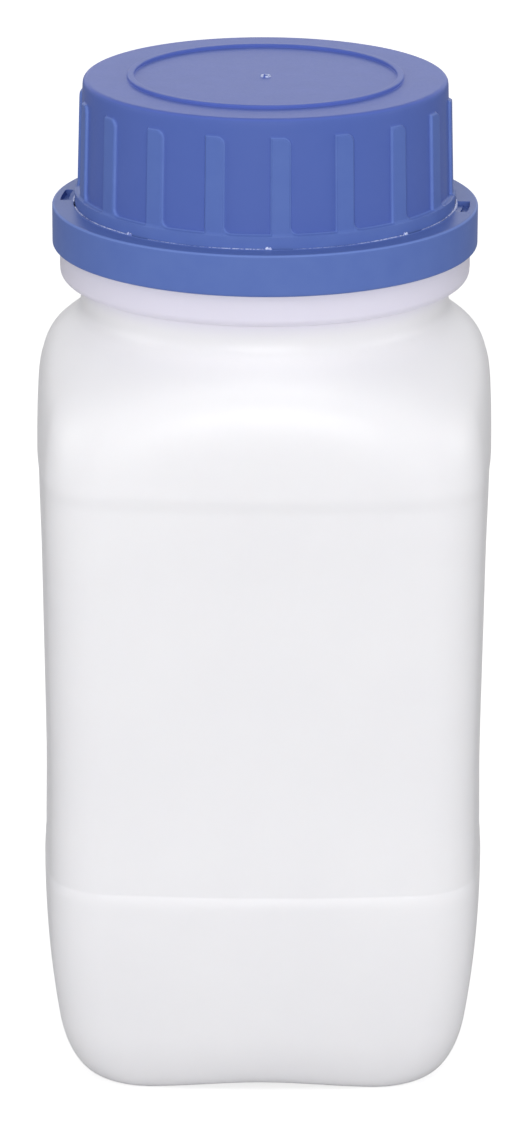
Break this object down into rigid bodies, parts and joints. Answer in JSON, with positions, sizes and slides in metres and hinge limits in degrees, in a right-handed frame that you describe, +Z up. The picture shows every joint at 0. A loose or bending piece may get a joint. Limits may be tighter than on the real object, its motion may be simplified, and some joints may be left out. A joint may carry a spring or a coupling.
{
  "type": "reagent bottle",
  "caption": "Square wide-neck plastic reagent bottle with recessed label panel, round collar, ribbed screw cap, tamper ring with break-off bridges, and sealing liner.",
  "frame": {"origin": "middle of the standing plane, under the neck's axis", "axes": "+Z up along the neck's axis; the flat faces look along X and Y; the front is towards -Y"},
  "size_m": [0.088, 0.088, 0.1948],
  "materials": {
    "natural_hdpe": "natural HDPE, satin, slightly translucent",
    "blue_pp": "moulded polypropylene, fine satin",
    "liner_foam": "foamed polyethylene disc"
  },
  "bodies": {
    "bottle": {"bottle": "natural_hdpe", "tamper_ring": "blue_pp", "tamper_bridges": "blue_pp"},
    "liner": {"sealing_liner": "liner_foam"},
    "cap": {"screw_cap": "blue_pp"}
  },
  "joints": [
    {"name": "cap_lift", "type": "slide", "parent": "bottle", "child": "liner", "axis": [0, 0, 1], "range_m": [0, 0.03]},
    {"name": "cap_turn", "type": "hinge", "parent": "liner", "child": "cap", "pos_m": [0, 0, 0.18], "axis": [0, 0, 1], "range_deg": [0, 1800]}
  ],
  "couplings": [
    {"joint": "cap_lift", "follows": "cap_turn", "m_per_rad": 0.00095493}
  ]
}
